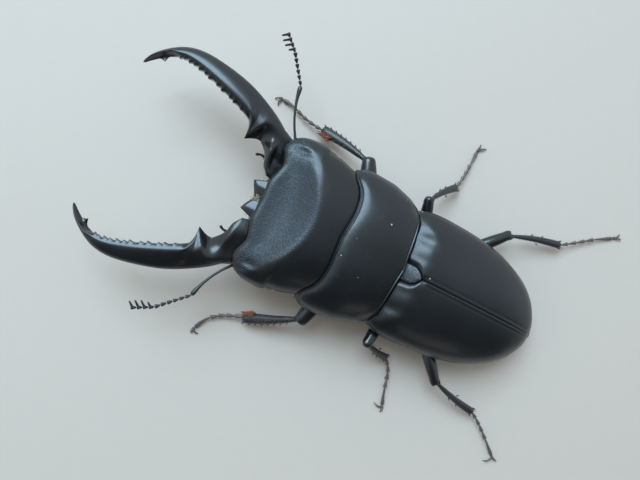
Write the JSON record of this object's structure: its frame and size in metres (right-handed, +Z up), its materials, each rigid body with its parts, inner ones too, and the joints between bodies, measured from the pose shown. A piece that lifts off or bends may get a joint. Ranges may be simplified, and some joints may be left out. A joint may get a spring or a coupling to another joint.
{
  "type": "stag beetle",
  "caption": "Life-size still model of a male giant stag beetle, satin black, with long jaws half open, standing on a flat surface",
  "frame": {"origin": "under the middle of the whole beetle's outline, on the ground", "axes": "+Z up, head and jaws towards -Y, tail towards +Y, the beetle's left at +X"},
  "size_m": [0.065, 0.108, 0.0165],
  "materials": {
    "shell": "satin black shell plate, finely pitted, with soft grey-blue reflections",
    "shiny_shell": "smooth glossy black shell of the hips and thighs",
    "limb_shell": "satin black shell of shins, feelers and palps, with a faint warm grey tone",
    "foot_shell": "satin brown-black shell of feet and claws",
    "eye": "polished near-black compound eye"
  },
  "bodies": {
    "root": {"abdomen": "shell", "antenna_club_left": "limb_shell", "antenna_club_right": "limb_shell", "antenna_funicle_left": "limb_shell", "antenna_funicle_right": "limb_shell", "antenna_scape_left": "limb_shell", "antenna_scape_right": "limb_shell", "claws_fore_left": "foot_shell", "claws_fore_right": "foot_shell", "claws_hind_left": "foot_shell", "claws_hind_right": "foot_shell", "claws_mid_left": "foot_shell", "claws_mid_right": "foot_shell", "clypeus": "shell", "coxa_fore_left": "shiny_shell", "coxa_fore_right": "shiny_shell", "coxa_hind_left": "shiny_shell", "coxa_hind_right": "shiny_shell", "coxa_mid_left": "shiny_shell", "coxa_mid_right": "shiny_shell", "elytron_left": "shell", "elytron_right": "shell", "eye_left": "eye", "eye_right": "eye", "femur_fore_left": "shiny_shell", "femur_fore_right": "shiny_shell", "femur_hind_left": "shiny_shell", "femur_hind_right": "shiny_shell", "femur_mid_left": "shiny_shell", "femur_mid_right": "shiny_shell", "head": "shell", "hind_thorax": "shell", "mandible_left": "shell", "mandible_right": "shell", "mentum": "shell", "palp_left": "limb_shell", "palp_right": "limb_shell", "pronotum": "shell", "prosternum": "shell", "scutellum": "shell", "tarsus_fore_left": "foot_shell", "tarsus_fore_right": "foot_shell", "tarsus_hind_left": "foot_shell", "tarsus_hind_right": "foot_shell", "tarsus_mid_left": "foot_shell", "tarsus_mid_right": "foot_shell", "tibia_fore_left": "limb_shell", "tibia_fore_right": "limb_shell", "tibia_hind_left": "limb_shell", "tibia_hind_right": "limb_shell", "tibia_mid_left": "limb_shell", "tibia_mid_right": "limb_shell"}
  },
  "joints": []
}
